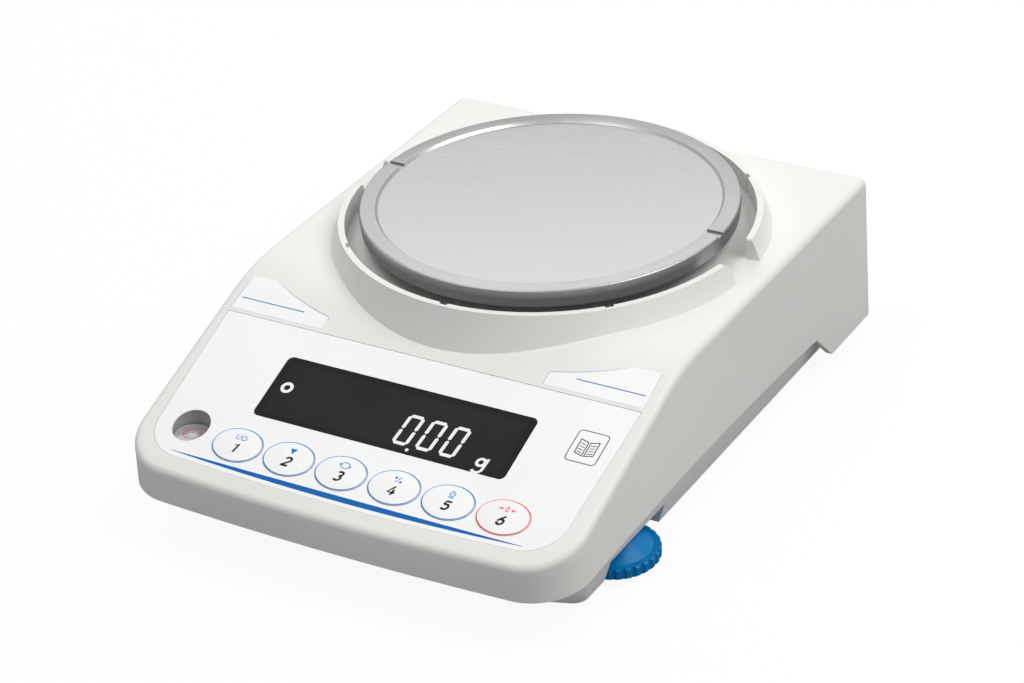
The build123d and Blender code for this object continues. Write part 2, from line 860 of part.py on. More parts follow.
def guide_face():
    """Plan of a parallel guide, wide at the pillar and narrow at the load receiver."""
    front = cell_front
    back = pan_y + receiver_length / 2
    wide, narrow = cell_half - 4, receiver_half
    face = make_face(Polyline((-wide, front), (wide, front), (wide, front + pillar_length), (narrow, back),
                              (-narrow, back), (-wide, front + pillar_length), close=True))
    return face


def make_guide(bottom):
    """Thin parallel guide with two bending necks and a round window for the magnet."""
    plate = extrude(Pos(0, 0, bottom) * guide_face(), amount=guide_thickness)
    for y in (cell_front + pillar_length + 4, pan_y - receiver_length / 2 - 4):
        for level in (bottom, bottom + guide_thickness):
            flute = Rot(0, 90, 0) * Cylinder((guide_thickness - guide_neck) / 2, 4 * cell_half)
            plate -= Pos(0, y, level) * flute
    return plate - rod(0, coil_y, bottom, bottom + guide_thickness, magnet_radius + guide_clearance)


def make_lower_guide():
    """Lower guide, open for the cheeks that hold the beam's pivot."""
    bottom = cell_top + guide_thickness
    half = beam_half + cheek_gap + cheek_thickness + guide_clearance
    reach = cheek_length / 2 + guide_clearance
    along = (beam_pivot_y - reach, beam_pivot_y + reach)
    return make_guide(bottom) - block((-half, half), along, (bottom, bottom + guide_thickness))


def make_upper_guide():
    """Upper guide, open round the stem of the load pin."""
    top = upper_guide_bottom + guide_thickness
    return make_guide(upper_guide_bottom) - rod(0, pan_y, upper_guide_bottom, top, post_shoulder_radius + 2)


def make_pillar():
    """Fixed end of the parallel guides."""
    low = cell_top + 2 * guide_thickness
    along = (cell_front, cell_front + pillar_length)
    body = block((-cell_half + 4, cell_half - 4), along, (low, low + pillar_height))
    return fillet(body.edges().filter_by(Axis.Z), 2)


def make_receiver():
    """Load receiver that hangs between the guides and carries the load pin."""
    body = block((-receiver_half, receiver_half),
                 (pan_y - receiver_length / 2, pan_y + receiver_length / 2), (receiver_bottom, receiver_top))
    link = block((-beam_half, beam_half), (pan_y - receiver_length / 2 - 1.5, pan_y - receiver_length / 2),
                 (beam_axis_z - beam_height, beam_axis_z + beam_height / 2))
    stem = rod(0, pan_y, receiver_top, shoulder_top, post_shoulder_radius)
    pin = rod(0, pan_y, shoulder_top, shoulder_top + load_pin_length - 0.2, load_pin_radius)
    pin = chamfer(pin.edges().sort_by(Axis.Z)[-1], 0.6)
    return body + link + stem + pin


def make_beam():
    """Balance beam that turns the small travel of the load into the travel of the coil."""
    back = pan_y - receiver_length / 2 - 2.2
    front = beam_pivot_y - beam_tail
    low = beam_axis_z - beam_height / 2
    bar = block((-beam_half, beam_half), (front, back), (low, low + beam_height))
    bar = fillet(bar.edges().filter_by(Axis.Z), 1.5)
    bar += block((-flag_thickness / 2, flag_thickness / 2), (front - flag_length, front + 1),
                 (beam_axis_z - 1, beam_axis_z + 1))
    bore = Rot(0, 90, 0) * Cylinder(pivot_radius + pivot_gap, 4 * beam_half)
    return bar - Pos(0, beam_pivot_y, beam_axis_z) * bore


def make_pivot():
    """Pin that the beam turns on, held by the cheeks of the frame."""
    length = 2 * (beam_half + cheek_gap + cheek_thickness)
    return Pos(0, beam_pivot_y, beam_axis_z) * Rot(0, 90, 0) * Cylinder(pivot_radius, length)


def make_coil():
    """Coil on its former, hung under the front end of the beam."""
    middle = coil_top - coil_former
    former = rod(0, coil_y, middle, coil_top, coil_outer)
    winding = rod(0, coil_y, middle - coil_length, middle, coil_outer)
    winding -= rod(0, coil_y, middle - coil_length, middle, coil_inner)
    return former + winding


def make_magnet_pot():
    """Iron pot of the magnet, open upwards for the coil."""
    top = cell_top + magnet_height
    pot = rod(0, coil_y, cell_top, top, magnet_radius)
    return pot - rod(0, coil_y, cell_top + magnet_wall, top, magnet_radius - magnet_wall)


def make_magnet_core():
    """Magnet and pole piece in the middle of the pot."""
    bottom = cell_top + magnet_wall
    top = min(cell_top + magnet_height, coil_top - core_clearance)
    return rod(0, coil_y, bottom, top, core_radius)


def make_position_sensor():
    """Light gate that watches the end of the beam."""
    front = beam_pivot_y - beam_tail
    low = cell_top + magnet_height + 1
    wide = beam_half + 4
    body = block((-wide, wide), (cell_front + pillar_length, front - 0.6), (low, beam_axis_z + 5))
    slot = (-flag_thickness / 2 - flag_gap, flag_thickness / 2 + flag_gap)
    return body - block(slot, (front - flag_length - flag_gap, front), (beam_axis_z - 2, beam_axis_z + 6))


def make_main_board():
    """Main board behind the weighing cell."""
    front = main_board_back - main_board_length
    board = block((-main_board_half, main_board_half), (front, main_board_back),
                  (main_board_bottom, main_board_bottom + board_thickness))
    hole = board_screw_radius + stem_running_gap
    for x, y in board_posts():
        board -= rod(x, y, main_board_bottom, main_board_bottom + board_thickness, hole)
    return board


def make_board_parts():
    """Processor, capacitors and screening can on the main board."""
    top = main_board_bottom + board_thickness
    middle = main_board_back - main_board_length / 2
    half = chip_size / 2
    chip = block((-half, half), (middle - half, middle + half), (top, top + chip_height))
    can = block((2.5 * half, 2.5 * half + can_width), (middle - can_length, middle), (top, top + can_height))
    pieces = [chip, can]
    for i in range(2):
        x = main_board_half - capacitor_radius - capacitor_pitch * (i + 0.5)
        pieces.append(rod(x, middle + 2 * capacitor_radius, top, top + capacitor_height, capacitor_radius))
    return Compound(children=pieces)


def make_port():
    """Nine-way data socket whose flange fills its opening in the back wall."""
    low = port_bottom()
    face_y = back_y - port_inset
    half = port_width / 2
    in_board = main_board_back - port_reach
    flange = block((port_x - half, port_x + half), (in_board, face_y), (low, low + port_height))
    shell = extrude(RectangleRounded(port_shell_width, port_shell_height, 2), amount=port_shell_length)
    return flange + Pos(port_x, face_y, low + port_height / 2) * Rot(-90, 0, 0) * shell


def make_jack():
    """Barrel power inlet with its centre pin."""
    low = port_bottom()
    face_y = back_y - jack_inset
    half = jack_width / 2
    in_board = main_board_back - jack_reach
    body = block((jack_x - half, jack_x + half), (in_board, face_y), (low, low + jack_height))
    mouth = Pos(jack_x, face_y, low + jack_height / 2) * Rot(90, 0, 0)
    body -= mouth * Cylinder(jack_bore, jack_depth, align=upright)
    return body + mouth * Pos(0, 0, 1) * Cylinder(jack_pin, jack_depth - 1, align=upright)


def make_wheel(side):
    """Blue levelling wheel with a lobed rim, a coned hub and its threaded stem."""
    low = foot_pad_height
    rim_top = low + wheel_thickness
    hub = rim_top + hub_height
    stem = recess_roof() + bush_length + foot_travel
    profile = make_face(
        Polyline(
            (0, low), (wheel_radius - 0.6, low), (wheel_radius, low + 0.6), (wheel_radius, rim_top - 0.6),
            (wheel_radius - 0.6, rim_top), (wheel_radius - 3, rim_top), (hub_radius + 2, hub - 3),
            (hub_radius, hub - 3), (hub_radius, hub), (foot_stem_radius, hub), (foot_stem_radius, stem),
            (0, stem), close=True,
        )
    )
    wheel = revolve(Plane.XZ * profile, Axis.Z)
    for i in range(wheel_lobes):
        groove = Cylinder(lobe_depth + 0.3, wheel_thickness + 2, align=upright)
        notch = Pos(wheel_radius + 0.3, 0, low - 1) * groove
        wheel -= Rot(0, 0, 360 / wheel_lobes * i) * notch
    return Pos(side * wheel_x, wheel_y, 0) * wheel


def make_bush(side):
    """Threaded bush pressed into the tray, in which a stem turns."""
    bottom = recess_roof()
    top = bottom + bush_length
    bush = rod(side * wheel_x, wheel_y, bottom, top, bush_radius())
    bush += rod(side * wheel_x, wheel_y, top, top + 1.5, bush_radius() + 2)
    return bush - rod(side * wheel_x, wheel_y, bottom - 1, top + 2, foot_stem_radius + stem_running_gap)


def make_foot_pad(side):
    """Rubber pad under a levelling wheel."""
    pad = rod(side * wheel_x, wheel_y, 0, foot_pad_height, foot_pad_radius)
    return chamfer(pad.edges().sort_by(Axis.Z)[0], 0.6)


def make_rear_foot(side):
    """Rubber foot under the back of the tray."""
    foot = rod(side * rear_foot_x, rear_foot_y, 0, base_bottom, rear_foot_radius)
    return chamfer(foot.edges().sort_by(Axis.Z)[0], 1)


def make_screws():
    """Four screws from below, through the tray into the posts of the housing."""
    screws = []
    for x, y in housing_posts():
        head_top = base_bottom + screw_well
        head = rod(x, y, head_top - screw_head_height, head_top, screw_head_radius)
        screws.append(head + rod(x, y, head_top, post_joint + screw_length - 2, screw_radius))
    return Compound(children=screws)


def save(name, shape):
    """Write one named piece."""
    export_step(shape, f"parts/{name}.step")


def main():
    os.makedirs("parts", exist_ok=True)
    save("top_housing", make_housing())
    save("base_tray", make_base())
    save("panel_sheet", make_panel_sheet())
    save("display_window", panel_prism(window_outline(0), flush_gap, window_thickness + flush_gap))
    save("display_module", make_display_module())
    save("key_board", make_key_board())
    save("key_switches", make_key_switches())
    save("board_screws", make_board_screws())
    for number, place in enumerate(key_places(), start=1):
        save(f"key_{number}", make_key(place))
    save("level_cup", make_level_cup())
    save("level_vial", make_level_vial())
    save("pan", make_pan())
    save("pan_carrier", make_carrier())
    save("pan_cushions", make_cushions())
    save("cell_frame", make_cell_frame())
    save("cell_pillar", make_pillar())
    save("lower_guide", make_lower_guide())
    save("upper_guide", make_upper_guide())
    save("load_receiver", make_receiver())
    save("balance_beam", make_beam())
    save("beam_pivot", make_pivot())
    save("force_coil", make_coil())
    save("magnet_pot", make_magnet_pot())
    save("magnet_core", make_magnet_core())
    save("position_sensor", make_position_sensor())
    save("main_board", make_main_board())
    save("board_parts", make_board_parts())
    save("data_port", make_port())
    save("power_inlet", make_jack())
    save("housing_screws", make_screws())
    for label, side in (("left", -1), ("right", 1)):
        save(f"badge_{label}", make_badge(side))
        save(f"foot_wheel_{label}", make_wheel(side))
        save(f"foot_bush_{label}", make_bush(side))
        save(f"foot_pad_{label}", make_foot_pad(side))
        save(f"rear_foot_{label}", make_rear_foot(side))


main()
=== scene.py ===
import json
import math

import bpy
from mathutils import Matrix, Vector


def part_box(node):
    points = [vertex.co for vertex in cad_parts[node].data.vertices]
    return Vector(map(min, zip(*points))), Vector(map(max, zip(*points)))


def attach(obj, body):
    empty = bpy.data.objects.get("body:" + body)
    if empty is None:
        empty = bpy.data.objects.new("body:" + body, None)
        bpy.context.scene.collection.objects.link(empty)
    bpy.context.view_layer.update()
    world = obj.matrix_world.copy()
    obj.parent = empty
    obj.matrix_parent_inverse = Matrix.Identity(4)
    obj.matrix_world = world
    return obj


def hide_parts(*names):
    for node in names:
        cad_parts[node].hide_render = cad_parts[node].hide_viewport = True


bl_info = {
    "name": "Precision balance",
    "version": (1, 0, 0),
    "blender": (4, 5, 0),
    "location": "View3D > Sidebar > Balance",
    "description": "Dresses the frame of a top-loading precision balance "
                   "with its finishes and prints",
    "category": "Object",
}

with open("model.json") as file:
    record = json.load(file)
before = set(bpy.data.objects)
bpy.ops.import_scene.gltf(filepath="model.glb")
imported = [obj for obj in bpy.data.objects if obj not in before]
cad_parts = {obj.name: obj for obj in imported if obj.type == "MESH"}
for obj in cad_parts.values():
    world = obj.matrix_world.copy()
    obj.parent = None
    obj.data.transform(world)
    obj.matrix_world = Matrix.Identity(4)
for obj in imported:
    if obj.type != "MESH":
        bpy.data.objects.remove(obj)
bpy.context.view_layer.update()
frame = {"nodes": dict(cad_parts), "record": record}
MM = 0.001
WHITE = (1.0, 1.0, 1.0, 1.0)

# Heights of the prints over the plane of the slope, in millimetres
SHEET_PRINT = -0.11
WINDOW_PRINT = -0.115
KEY_PRINT = 0.28

# Thicknesses of a print, a lit stroke and the rings on the vial, in millimetres
INK = 0.03
LIT = 0.02
VIAL_RING = 0.04

# Half sizes and widths of the two rings round a key, and how far its sign and its number stand
# up the slope from its middle, in millimetres
KEY_OUTLINE = (10.43, 7.63, 0.28)
KEY_SURROUND = (10.74, 7.94, 0.13)
KEY_SIGN_UP = 3.5
KEY_NUMBER_UP = -1.5

# Edges of the window's clear field and of the band by the pan's rim that gets painted shade,
# each as the start and the end of a short fade, in metres
WINDOW_MIDDLE = 0.0008
WINDOW_SIDE = (0.0508, 0.0518)
WINDOW_TOP = (0.0552, 0.0562)
WINDOW_FOOT = (0.0304, 0.0312)
PAN_SHADED_RIM = (0.0679, 0.0684)

# Most values of a noise lie in the wide span, and about half of them in the narrow one
WIDE = (0.3, 0.7)
NARROW = (0.35, 0.65)

# Share of the room's white that falls on the pieces
ROOM_LIGHT = 0.34

# Each lamp: its name, its place, what it looks at, its sides in metres and its power in watts
LAMPS = (
    ("key_lamp", (1.35, 0.3, 1.9), (0.0, 0.0, 0.05), (1.3, 1.3), 27.5),
    ("pan_lamp", (-0.36, 0.66, 0.72), (0.0, 0.04, 0.08), (0.9, 0.45), 1.6),
    ("top_lamp", (-0.6, -0.45, 2.2), (0.0, -0.05, 0.03), (1.2, 1.2), 11.5),
)

CAMERA_PLACE = (
    (0.86507, -0.20914, 0.45598, 0.55630),
    (0.49857, 0.45898, -0.73536, -0.89261),
    (-0.05550, 0.86348, 0.50132, 0.64918),
    (0.0, 0.0, 0.0, 1.0),
)


# Shader sums

class Wire:
    """An output socket on which sums are written as Python expressions."""

    def __init__(self, paint, socket):
        self.paint = paint
        self.socket = socket

    def sum(self, operation, *others):
        values = dict(enumerate((self, *others)))
        return self.paint.node("ShaderNodeMath", {"operation": operation}, values)

    def __add__(self, other):
        return self.sum("ADD", other)

    def __sub__(self, other):
        return self.sum("SUBTRACT", other)

    def __mul__(self, other):
        return self.sum("MULTIPLY", other)

    def __abs__(self):
        return self.sum("ABSOLUTE")

    def top(self, other):
        """The larger of two values."""
        return self.sum("MAXIMUM", other)

    def step(self, low, high, first=0.0, last=1.0):
        """Smooth change from first to last as the value goes from low to high."""
        smooth = {"interpolation_type": "SMOOTHSTEP"}
        values = {"Value": self, "From Min": low, "From Max": high,
                  "To Min": first, "To Max": last}
        return self.paint.node("ShaderNodeMapRange", smooth, values)


class Paint:
    """A material, or the world, and the nodes that make it."""

    def __init__(self, owner):
        self.owner = owner
        owner.use_nodes = True
        self.tree = owner.node_tree
        self.tree.nodes.clear()

    def node(self, kind, settings=None, values=None, out=0):
        """One node: its settings first, then the values and links of its sockets."""
        node = self.tree.nodes.new(kind)
        for key, value in (settings or {}).items():
            setattr(node, key, value)
        for key, value in (values or {}).items():
            if isinstance(value, Wire):
                self.tree.links.new(value.socket, node.inputs[key])
            else:
                node.inputs[key].default_value = value
        return Wire(self, node.outputs[out])

    def place(self):
        """Where a point lies on its piece, in metres."""
        return self.node("ShaderNodeTexCoord", out="Object")

    def vector(self, operation, first, second, out="Vector"):
        values = {0: first, 1: second}
        return self.node("ShaderNodeVectorMath", {"operation": operation}, values, out)

    def noise(self, scale, detail, roughness=0.5, place=None):
        """Cloudy pattern of about one patch in 1/scale metres."""
        values = {"Vector": place or self.place(), "Scale": scale, "Detail": detail,
                  "Roughness": roughness}
        return self.node("ShaderNodeTexNoise", None, values)

    def grain(self, stretch, detail):
        """Pattern drawn out along the axes where stretch is small."""
        return self.noise(1.0, detail, 0.55, self.vector("MULTIPLY", self.place(), stretch))

    def along(self, direction):
        """How far a point lies along a direction, in metres."""
        return self.vector("DOT_PRODUCT", self.place(), direction, "Value")

    def blend(self, factor, first, second):
        """Colour between two others."""
        values = {"Factor": factor, "A": first, "B": second}
        return self.node("ShaderNodeMix", {"data_type": "RGBA"}, values, "Result")

    def surface(self, colour, roughness, height=None, depth=0.0, **constants):
        """Ends the material with its surface shader."""
        values = {"Base Color": colour, "Roughness": roughness}
        values.update({key.replace("_", " "): value for key, value in constants.items()})
        if height is not None:
            bump = {"Height": height, "Distance": depth, "Strength": 1.0}
            values["Normal"] = self.node("ShaderNodeBump", None, bump)
        return self.end(self.node("ShaderNodeBsdfPrincipled", None, values))

    def end(self, shader, kind="ShaderNodeOutputMaterial"):
        output = self.tree.nodes.new(kind)
        self.tree.links.new(shader.socket, output.inputs["Surface"])
        return self.owner


def new_paint(name):
    return Paint(bpy.data.materials.new(name))


def tone(colour, factor):
    return (colour[0] * factor, colour[1] * factor, colour[2] * factor, 1.0)


# Finishes

def moulded_plastic(name, colour, roughness=0.42, texture=0.000012, scale=2600.0, gloss=0.5):
    """Moulded plastic with a fine spark-eroded texture and a slight change of tone."""
    paint = new_paint(name)
    cloud = paint.noise(14.0, 3.0)
    shade = paint.blend(cloud.step(*WIDE), tone(colour, 0.985), tone(colour, 1.015))
    fine = paint.noise(scale, 2.0)
    polish = cloud.step(*NARROW, roughness - 0.04, roughness + 0.04)
    return paint.surface(shade, polish, fine, texture, IOR=1.5, Specular_IOR_Level=gloss)


def printed_ink(name, colour):
    """Screen printed ink with a faint unevenness."""
    paint = new_paint(name)
    fleck = paint.noise(3500.0, 2.0)
    shade = paint.blend(fleck.step(*NARROW), tone(colour, 0.97), tone(colour, 1.03))
    return paint.surface(shade, fleck.step(*WIDE, 0.35, 0.41), Specular_IOR_Level=0.15)


def film(name, colour):
    """Fine matt film that covers the panel."""
    paint = new_paint(name)
    fine = paint.noise(5200.0, 1.5)
    cloud = paint.noise(22.0, 2.0)
    shade = paint.blend(cloud.step(*WIDE), tone(colour, 0.99), tone(colour, 1.01))
    return paint.surface(shade, cloud.step(*WIDE, 0.30, 0.36), fine, 0.000004, IOR=1.5)


def smoked_window(name, sizes):
    """Smoked window: a darker printed border and a slightly lighter clear field."""
    paint = new_paint(name)
    slope = sizes.slope_angle
    up = paint.along((0.0, math.cos(slope), math.sin(slope)))
    base = sizes.panel_y * math.cos(slope) + sizes.panel_z * math.sin(slope)
    side = abs(paint.along((1.0, 0.0, 0.0)) - WINDOW_MIDDLE).step(*WINDOW_SIDE)
    above = (up - base).step(*WINDOW_TOP)
    below = (up - base).step(*WINDOW_FOOT, 1.0, 0.0)
    border = side.top(above).top(below)
    smear = paint.noise(35.0, 3.0)
    clear_field = paint.blend(
        smear.step(*NARROW), (0.0150, 0.0150, 0.0156, 1.0), (0.0170, 0.0168, 0.0176, 1.0))
    shade = paint.blend(border, clear_field, (0.0100, 0.0100, 0.0105, 1.0))
    polish = smear.step(*WIDE, 0.30, 0.36)
    return paint.surface(shade, polish, IOR=1.45, Specular_IOR_Level=0.12)


def lit_digit(name, colour):
    """Lit stroke of the display."""
    paint = new_paint(name)
    dots = paint.noise(2200.0, 1.0)
    glow = paint.blend(dots.step(*WIDE), tone(colour, 0.95), tone(colour, 1.03))
    dark = (0.02, 0.02, 0.02, 1.0)
    return paint.surface(dark, 0.5, Emission_Color=glow, Emission_Strength=1.0)


def brushed_steel(name, colour, roughness, stretch, streak=0.03):
    """Stainless steel with brush lines along one axis, and a rougher band by its rim
    whose darker tone is painted shade, for the dim reflection of the rim and the side.
    """
    paint = new_paint(name)
    lines = paint.grain(stretch, 4.0)
    broad = paint.grain(tuple(v * 0.12 for v in stretch), 2.0)
    mix = lines * 0.7 + broad * 0.3
    shade = paint.blend(mix.step(*WIDE), tone(colour, 1.0 - streak), tone(colour, 1.0 + streak))
    low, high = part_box("pan")
    middle = ((low.x + high.x) / 2, (low.y + high.y) / 2, 0.0)
    flat = paint.vector("MULTIPLY", paint.place(), (1.0, 1.0, 0.0))
    shaded_rim = paint.vector("DISTANCE", flat, middle, "Value").step(*PAN_SHADED_RIM)
    # Painted shade: the band by the rim is toned darker, standing in for its dim reflection.
    shade = paint.blend(shaded_rim, shade, tone(colour, 0.87))
    polish = mix.step(*WIDE, roughness - 0.05, roughness + 0.05) + shaded_rim * 0.04
    return paint.surface(shade, polish, lines, 0.0000008, Metallic=1.0)


def plain_metal(name, colour, roughness, depth=0.00001):
    """Cast, turned or plated metal with a fine grain."""
    paint = new_paint(name)
    fine = paint.noise(1800.0, 3.0)
    shade = paint.blend(fine.step(*WIDE), tone(colour, 0.93), tone(colour, 1.04))
    polish = fine.step(*WIDE, roughness - 0.06, roughness + 0.06)
    return paint.surface(shade, polish, fine, depth, Metallic=1.0)


def wound_copper(name, colour):
    """Enamelled copper wire, wound turn on turn, with painted shade in the grooves between turns.
    """
    paint = new_paint(name)
    turns = paint.node("ShaderNodeTexWave", {"wave_type": "BANDS", "bands_direction": "Z"},
                       {"Vector": paint.place(), "Scale": 500.0, "Distortion": 0.3})
    # Painted shade and light: each turn is lit on its crest and darkened towards the grooves beside
    # it.
    shade = paint.blend(turns, tone(colour, 0.45), tone(colour, 1.0))
    return paint.surface(shade, turns.step(0.0, 1.0, 0.5, 0.3), turns, 0.00008, Metallic=0.8)


def varnished_board(name, colour):
    """Circuit board: varnish over tracks a little lighter than the ground."""
    paint = new_paint(name)
    ground = (0.0, 0.0, 0.0, 1.0)
    pattern = {"Vector": paint.place(), "Scale": 160.0, "Mortar Size": 0.06,
               "Color1": ground, "Color2": ground, "Mortar": WHITE}
    tracks = paint.node("ShaderNodeTexBrick", None, pattern, "Fac")
    shade = paint.blend(tracks, tone(colour, 0.9), tone(colour, 1.6))
    return paint.surface(shade, tracks.step(0.0, 1.0, 0.24, 0.30), tracks, 0.00002)


def soft_rubber(name, colour):
    """Moulded rubber with a dull, slightly dusty skin."""
    paint = new_paint(name)
    dust = paint.noise(900.0, 4.0)
    shade = paint.blend(dust.step(0.45, 0.75), tone(colour, 0.9), tone(colour, 1.5))
    return paint.surface(shade, dust.step(*WIDE, 0.72, 0.86), dust, 0.00002)


def vial_glass(name, colour):
    """Clear cap over the pale face of the spirit level."""
    paint = new_paint(name)
    smear = paint.noise(420.0, 2.0)
    shade = paint.blend(smear.step(*WIDE), tone(colour, 0.94), tone(colour, 1.05))
    polish = smear.step(*WIDE, 0.10, 0.16)
    return paint.surface(shade, polish, IOR=1.5, Coat_Weight=0.6, Coat_Roughness=0.04)


def make_finishes():
    """One finish for each material slot of the record, and the inks."""
    sizes = bpy.context.scene.balance_sizes
    colours = bpy.context.scene.balance_colours
    return {
        "housing": moulded_plastic("housing_plastic", colours.housing, 0.46, 0.000014, 2300.0),
        "tray": moulded_plastic("tray_plastic", colours.tray, 0.50, 0.000016, 2000.0),
        "panel": film("panel_film", colours.panel),
        "window": smoked_window("smoked_window", sizes),
        "glass_tube": moulded_plastic("tube_glass", (0.03, 0.035, 0.035), 0.12, 0.000002),
        "board": varnished_board("varnished_board", (0.02, 0.14, 0.06)),
        "black": moulded_plastic("black_plastic", (0.020, 0.020, 0.022), 0.48),
        "cup": moulded_plastic("cup_plastic", colours.cup, 0.40, 0.000006),
        "vial": vial_glass("vial_glass", (0.34, 0.34, 0.335)),
        "pan_steel": brushed_steel("pan_steel", colours.pan, 0.29, (60.0, 6500.0, 6500.0)),
        "rubber": soft_rubber("soft_rubber", (0.022, 0.022, 0.022)),
        "frame_metal": plain_metal("cast_metal", (0.60, 0.61, 0.62), 0.46, 0.00003),
        "steel": plain_metal("plated_steel", (0.62, 0.62, 0.62), 0.26),
        "iron": moulded_plastic("magnet_enamel", (0.045, 0.048, 0.052)),
        "copper": wound_copper("wound_copper", (0.62, 0.26, 0.10)),
        "wheel": moulded_plastic("wheel_plastic", colours.wheel, 0.36, 0.000008, gloss=0.2),
        "bush": plain_metal("turned_brass", (0.66, 0.48, 0.20), 0.28),
        "blue_ink": printed_ink("blue_ink", colours.print_blue),
        "outline_ink": printed_ink("outline_ink", colours.outline_blue),
        "red_ink": printed_ink("red_ink", colours.print_red),
        "black_ink": printed_ink("black_ink", (0.012, 0.012, 0.014)),
        "level_ring": printed_ink("level_ring_ink", (0.50, 0.10, 0.13)),
        "bubble": vial_glass("bubble_glass", (0.43, 0.44, 0.43)),
        "digit": lit_digit("lit_digit", (0.80, 0.80, 0.80)),
    }


FINISHES = {}


# Tools of the bench

def clear():
    """Object mode with nothing selected."""
    if bpy.context.object and bpy.context.object.mode != "OBJECT":
        leave()
    bpy.ops.object.select_all(action="DESELECT")


def pick(piece):
    """Selects one piece and makes it the active one."""
    clear()
    piece.select_set(True)
    bpy.context.view_layer.objects.active = piece


def edit(piece):
    """Edit mode with everything on the piece selected."""
    pick(piece)
    bpy.ops.object.mode_set(mode="EDIT")
    bpy.ops.mesh.select_mode(type="FACE")
    bpy.ops.mesh.select_all(action="SELECT")


def leave():
    bpy.ops.object.mode_set(mode="OBJECT")


def join(pieces):
    """Several pieces made one."""
    clear()
    for piece in pieces:
        piece.select_set(True)
    bpy.context.view_layer.objects.active = pieces[0]
    if len(pieces) > 1:
        bpy.ops.object.join()
    return pieces[0]


def finish_piece(piece, name, finish, body, place=None):
    """Puts the place into the mesh, and gives the piece its finish and the body it rides on."""
    if place is not None:
        piece.data.transform(place)
    piece.name = name
    piece.data.name = name
    piece.data.materials.clear()
    piece.data.materials.append(FINISHES[finish])
    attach(piece, body)


def smooth_copy(node, slot, body, angle=30.0, edge=0.0):
    """A smooth copy of a CAD node stands for it, its sharp edges bevelled by edge millimetres."""
    name = node + "_skin"
    weld, flat, sharp = 0.000002, math.radians(0.4), math.radians(40.0)
    piece = bpy.data.objects.new(name, frame["nodes"][node].data.copy())
    bpy.context.scene.collection.objects.link(piece)
    edit(piece)
    bpy.ops.mesh.customdata_custom_splitnormals_clear()
    bpy.ops.mesh.remove_doubles(threshold=weld)
    bpy.ops.mesh.dissolve_limited(angle_limit=flat)
    leave()
    if edge:
        soften = piece.modifiers.new("edge", "BEVEL")
        soften.width = edge * MM
        soften.segments = 3
        soften.limit_method = "ANGLE"
        soften.angle_limit = sharp
        soften.use_clamp_overlap = True
        bpy.ops.object.modifier_apply(modifier=soften.name)
    pick(piece)
    bpy.ops.object.shade_smooth_by_angle(angle=math.radians(angle))
    finish_piece(piece, name, slot, body)
    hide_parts(node)


# Flat pieces. Their sizes are in millimetres.

def oval(half_width, half_height, count=72, x=0.0, y=0.0, start=0.0, turn=360.0):
    """Points on an ellipse, or on a part of it."""
    whole = abs(turn) >= 360.0
    step = math.radians(turn) / (count if whole else count - 1)
    angles = [math.radians(start) + step * i for i in range(count)]
    return [(x + half_width * math.cos(a), y + half_height * math.sin(a)) for a in angles]


def rounded_box(left, right, low, high, radius, count=6):
    """Points round a rectangle with rounded corners."""
    corners = ((right - radius, high - radius, 0), (left + radius, high - radius, 90),
               (left + radius, low + radius, 180), (right - radius, low + radius, 270))
    return [p for x, y, a in corners for p in oval(radius, radius, count, x, y, a, 90.0)]


def segment(length, width):
    """Outline of one level stroke of a lit digit, with pointed ends."""
    point = width * 0.42
    tip, flat, half = length / 2, length / 2 - point, width / 2
    return [(-tip, 0), (-flat, -half), (flat, -half), (tip, 0), (flat, half), (-flat, half)]


def face_up(piece):
    """Turns a flat piece so that its face looks up."""
    if piece.data.polygons[0].normal.z < 0:
        edit(piece)
        bpy.ops.mesh.flip_normals()
        leave()


def flat_outline(points):
    """Filled flat piece with the given outline."""
    clear()
    bpy.ops.mesh.primitive_circle_add(vertices=len(points), radius=MM, fill_type="NGON")
    piece = bpy.context.object
    for vertex, (x, y) in zip(piece.data.vertices, points):
        vertex.co = (x * MM, y * MM, 0.0)
    face_up(piece)
    return piece


def flat_ring(points, width):
    """Flat band of even width along the inside of an outline."""
    piece = flat_outline(points)
    edit(piece)
    bpy.ops.mesh.inset(thickness=width * MM, depth=0.0)
    bpy.ops.mesh.delete(type="FACE")
    leave()
    return piece


def flat_stroke(path, width):
    """Flat stroke along a path. The width is a number, or a list with one for each point."""
    count = len(path)
    widths = width if isinstance(width, list) else [width] * count
    clear()
    bpy.ops.mesh.primitive_grid_add(x_subdivisions=count - 1, y_subdivisions=1, size=MM)
    piece = bpy.context.object
    for i, (x, y) in enumerate(path):
        before, after = path[max(i - 1, 0)], path[min(i + 1, count - 1)]
        away = Vector((after[0] - before[0], after[1] - before[1])).normalized()
        for row, sign in ((0, -1), (1, 1)):
            aside = sign * widths[i] / 2
            vertex = piece.data.vertices[row * count + i]
            vertex.co = ((x - away.y * aside) * MM, (y + away.x * aside) * MM, 0.0)
    face_up(piece)
    return piece


def lean(piece, amount):
    """Leans a flat piece to the right, as the letters of a display or of bold print do."""
    piece.data.transform(Matrix(((1, amount, 0, 0), (0, 1, 0, 0), (0, 0, 1, 0), (0, 0, 0, 1))))


def move(piece, x, y):
    piece.data.transform(Matrix.Translation((x * MM, y * MM, 0.0)))
    return piece


